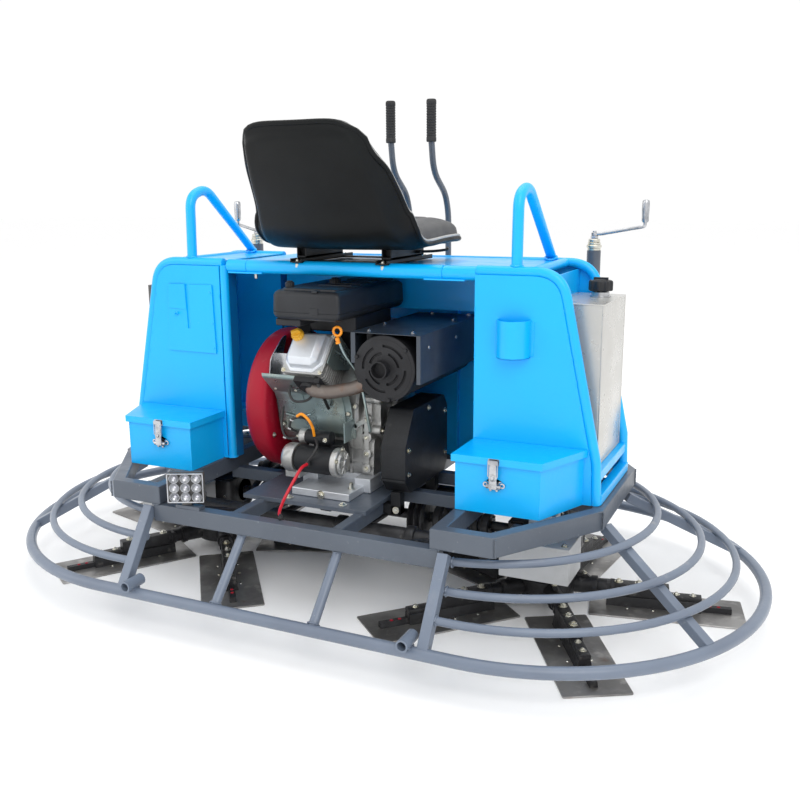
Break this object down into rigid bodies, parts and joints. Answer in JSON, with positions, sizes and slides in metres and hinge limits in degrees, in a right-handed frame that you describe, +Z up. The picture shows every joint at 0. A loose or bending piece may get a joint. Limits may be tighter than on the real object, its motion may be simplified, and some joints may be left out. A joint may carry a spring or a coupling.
{
  "type": "power trowel",
  "caption": "Ride-on twin-rotor power trowel: guard rings, bladed rotors, frame, engine, side towers with tanks, tool boxes, seat and steering levers.",
  "frame": {"origin": "on the ground under the middle of the machine", "axes": "+X to the driver's right, +Y the way the driver faces, +Z up"},
  "size_m": [2.0112, 1.14, 1.232],
  "materials": {
    "blue_paint": "gloss",
    "frame_paint": "satin",
    "black_paint": "satin",
    "red_housing": "satin",
    "engine_castings": "satin",
    "worn_steel": "worn",
    "bright_plating": "polished",
    "fuel_tank_plastic": "satin",
    "water_tank_plastic": "satin",
    "black_plastic": "satin",
    "pale_paint": "satin",
    "yellow_plastic": "gloss",
    "orange_plastic": "gloss",
    "seat_vinyl": "grained",
    "cable_red": "gloss",
    "dark_castings": "painted"
  },
  "bodies": {
    "chassis": {"main_frame": "frame_paint", "outer_guard_ring": "frame_paint", "left_guard_cage": "frame_paint", "right_guard_cage": "frame_paint", "left_tower": "blue_paint", "right_tower": "blue_paint", "seat_deck": "blue_paint", "front_panel": "blue_paint", "fuel_tank": "fuel_tank_plastic", "water_tank": "water_tank_plastic", "left_handle": "blue_paint", "right_handle": "blue_paint", "left_tool_box": "blue_paint", "right_tool_box": "blue_paint", "seat_rails": "black_paint", "lever_stand": "dark_castings", "left_pitch_post": "frame_paint", "right_pitch_post": "frame_paint", "engine_block": "engine_castings", "blower_housing": "red_housing", "air_cleaner": "black_plastic", "muffler": "black_paint", "heat_shield": "black_paint", "exhaust_pipe": "worn_steel", "starter_motor": "engine_castings", "dipstick": "orange_plastic", "belt_guard": "black_paint", "battery_cable": "cable_red", "left_gearbox": "dark_castings", "right_gearbox": "dark_castings", "left_cover_box": "pale_paint", "right_cover_box": "pale_paint"},
    "fuel_cap_body": {"fuel_cap": "black_plastic"},
    "oil_cap_body": {"oil_cap": "yellow_plastic"},
    "work_light_body": {"work_light": "bright_plating"},
    "seat_body": {"seat_shell": "black_plastic", "seat_cushion": "seat_vinyl"},
    "drive_shaft_body": {"drive_shaft": "worn_steel"},
    "left_lid_body": {"left_box_lid": "blue_paint"},
    "left_latch_body": {"left_box_latch": "bright_plating"},
    "left_lever_body": {"left_lever": "dark_castings"},
    "left_crank_body": {"left_pitch_crank": "worn_steel"},
    "left_grip_body": {"left_crank_grip": "worn_steel"},
    "left_spider_body": {"left_spider": "dark_castings"},
    "left_blade_1_body": {"left_blade_1": "worn_steel"},
    "left_blade_2_body": {"left_blade_2": "worn_steel"},
    "left_blade_3_body": {"left_blade_3": "worn_steel"},
    "left_blade_4_body": {"left_blade_4": "worn_steel"},
    "left_blade_5_body": {"left_blade_5": "worn_steel"},
    "right_lid_body": {"right_box_lid": "blue_paint"},
    "right_latch_body": {"right_box_latch": "bright_plating"},
    "right_lever_body": {"right_lever": "dark_castings"},
    "right_crank_body": {"right_pitch_crank": "worn_steel"},
    "right_grip_body": {"right_crank_grip": "worn_steel"},
    "right_spider_body": {"right_spider": "dark_castings"},
    "right_blade_1_body": {"right_blade_1": "worn_steel"},
    "right_blade_2_body": {"right_blade_2": "worn_steel"},
    "right_blade_3_body": {"right_blade_3": "worn_steel"},
    "right_blade_4_body": {"right_blade_4": "worn_steel"},
    "right_blade_5_body": {"right_blade_5": "worn_steel"}
  },
  "joints": [
    {"name": "left_lid_hinge", "type": "hinge", "parent": "chassis", "child": "left_lid_body", "pos_m": [-0.45, -0.1562, 0.437], "axis": [-1, 0, 0], "range_deg": [0, 88]},
    {"name": "left_latch_hinge", "type": "hinge", "parent": "chassis", "child": "left_latch_body", "pos_m": [-0.445, -0.2998, 0.374], "axis": [1, 0, 0], "range_deg": [0, 110]},
    {"name": "left_lever_pivot", "type": "hinge", "parent": "chassis", "child": "left_lever_body", "pos_m": [-0.06, 0.395, 0.335], "axis": [1, 0, 0], "range_deg": [-8, 8]},
    {"name": "left_crank_turn", "type": "hinge", "parent": "chassis", "child": "left_crank_body", "pos_m": [-0.508, 0.275, 0.884], "axis": [0, 0, 1], "range_deg": [0, 1440]},
    {"name": "left_grip_spin", "type": "hinge", "parent": "left_crank_body", "child": "left_grip_body", "pos_m": [-0.48927, 0.15141, 0.904], "axis": [0, 0, 1], "continuous": true},
    {"name": "left_rotor_spin", "type": "hinge", "parent": "chassis", "child": "left_spider_body", "pos_m": [-0.482, 0, 0.046], "axis": [0, 0, 1], "continuous": true},
    {"name": "left_blade_1_pitch", "type": "hinge", "parent": "left_spider_body", "child": "left_blade_1_body", "pos_m": [-0.482, 0, 0.046], "axis": [-0.6157, 0.788, 0], "range_deg": [0, 12]},
    {"name": "left_blade_2_pitch", "type": "hinge", "parent": "left_spider_body", "child": "left_blade_2_body", "pos_m": [-0.482, 0, 0.046], "axis": [-0.9397, -0.342, 0], "range_deg": [0, 12]},
    {"name": "left_blade_3_pitch", "type": "hinge", "parent": "left_spider_body", "child": "left_blade_3_body", "pos_m": [-0.482, 0, 0.046], "axis": [0.0349, -0.9994, 0], "range_deg": [0, 12]},
    {"name": "left_blade_4_pitch", "type": "hinge", "parent": "left_spider_body", "child": "left_blade_4_body", "pos_m": [-0.482, 0, 0.046], "axis": [0.9613, -0.2756, 0], "range_deg": [0, 12]},
    {"name": "left_blade_5_pitch", "type": "hinge", "parent": "left_spider_body", "child": "left_blade_5_body", "pos_m": [-0.482, 0, 0.046], "axis": [0.5592, 0.829, 0], "range_deg": [0, 12]},
    {"name": "right_lid_hinge", "type": "hinge", "parent": "chassis", "child": "right_lid_body", "pos_m": [0.45, -0.1562, 0.437], "axis": [-1, 0, 0], "range_deg": [0, 88]},
    {"name": "right_latch_hinge", "type": "hinge", "parent": "chassis", "child": "right_latch_body", "pos_m": [0.445, -0.2998, 0.374], "axis": [1, 0, 0], "range_deg": [0, 110]},
    {"name": "right_lever_pivot", "type": "hinge", "parent": "chassis", "child": "right_lever_body", "pos_m": [0.06, 0.395, 0.335], "axis": [1, 0, 0], "range_deg": [-8, 8]},
    {"name": "right_crank_turn", "type": "hinge", "parent": "chassis", "child": "right_crank_body", "pos_m": [0.508, 0.275, 0.884], "axis": [0, 0, 1], "range_deg": [0, 1440]},
    {"name": "right_grip_spin", "type": "hinge", "parent": "right_crank_body", "child": "right_grip_body", "pos_m": [0.633, 0.275, 0.904], "axis": [0, 0, 1], "continuous": true},
    {"name": "right_rotor_spin", "type": "hinge", "parent": "chassis", "child": "right_spider_body", "pos_m": [0.482, 0, 0.046], "axis": [0, 0, 1], "continuous": true},
    {"name": "right_blade_1_pitch", "type": "hinge", "parent": "right_spider_body", "child": "right_blade_1_body", "pos_m": [0.482, 0, 0.046], "axis": [0.4848, -0.8746, 0], "range_deg": [0, 12]},
    {"name": "right_blade_2_pitch", "type": "hinge", "parent": "right_spider_body", "child": "right_blade_2_body", "pos_m": [0.482, 0, 0.046], "axis": [0.9816, 0.1908, 0], "range_deg": [0, 12]},
    {"name": "right_blade_3_pitch", "type": "hinge", "parent": "right_spider_body", "child": "right_blade_3_body", "pos_m": [0.482, 0, 0.046], "axis": [0.1219, 0.9925, 0], "range_deg": [0, 12]},
    {"name": "right_blade_4_pitch", "type": "hinge", "parent": "right_spider_body", "child": "right_blade_4_body", "pos_m": [0.482, 0, 0.046], "axis": [-0.9063, 0.4226, 0], "range_deg": [0, 12]},
    {"name": "right_blade_5_pitch", "type": "hinge", "parent": "right_spider_body", "child": "right_blade_5_body", "pos_m": [0.482, 0, 0.046], "axis": [-0.682, -0.7314, 0], "range_deg": [0, 12]},
    {"name": "fuel_cap_turn", "type": "hinge", "parent": "chassis", "child": "fuel_cap_body", "pos_m": [0.578, 0.058, 0.762], "axis": [0, 0, 1], "continuous": true},
    {"name": "oil_cap_turn", "type": "hinge", "parent": "chassis", "child": "oil_cap_body", "pos_m": [-0.09, -0.19753, 0.65483], "axis": [0, -0.7431, 0.6691], "continuous": true},
    {"name": "work_light_swivel", "type": "hinge", "parent": "chassis", "child": "work_light_body", "pos_m": [-0.278, -0.415, 0.3165], "axis": [0, 0, 1], "range_deg": [-30, 30]},
    {"name": "seat_slide", "type": "slide", "parent": "chassis", "child": "seat_body", "axis": [0, 1, 0], "range_m": [-0.025, 0.025]},
    {"name": "drive_shaft_spin", "type": "hinge", "parent": "chassis", "child": "drive_shaft_body", "pos_m": [0, 0, 0.168], "axis": [1, 0, 0], "continuous": true}
  ],
  "couplings": [
    {"joint": "left_blade_1_pitch", "follows": "left_crank_turn", "ratio": 0.0083333},
    {"joint": "left_blade_2_pitch", "follows": "left_crank_turn", "ratio": 0.0083333},
    {"joint": "left_blade_3_pitch", "follows": "left_crank_turn", "ratio": 0.0083333},
    {"joint": "left_blade_4_pitch", "follows": "left_crank_turn", "ratio": 0.0083333},
    {"joint": "left_blade_5_pitch", "follows": "left_crank_turn", "ratio": 0.0083333},
    {"joint": "right_blade_1_pitch", "follows": "right_crank_turn", "ratio": 0.0083333},
    {"joint": "right_blade_2_pitch", "follows": "right_crank_turn", "ratio": 0.0083333},
    {"joint": "right_blade_3_pitch", "follows": "right_crank_turn", "ratio": 0.0083333},
    {"joint": "right_blade_4_pitch", "follows": "right_crank_turn", "ratio": 0.0083333},
    {"joint": "right_blade_5_pitch", "follows": "right_crank_turn", "ratio": 0.0083333},
    {"joint": "right_rotor_spin", "follows": "left_rotor_spin", "ratio": -1},
    {"joint": "drive_shaft_spin", "follows": "left_rotor_spin", "ratio": 20}
  ]
}
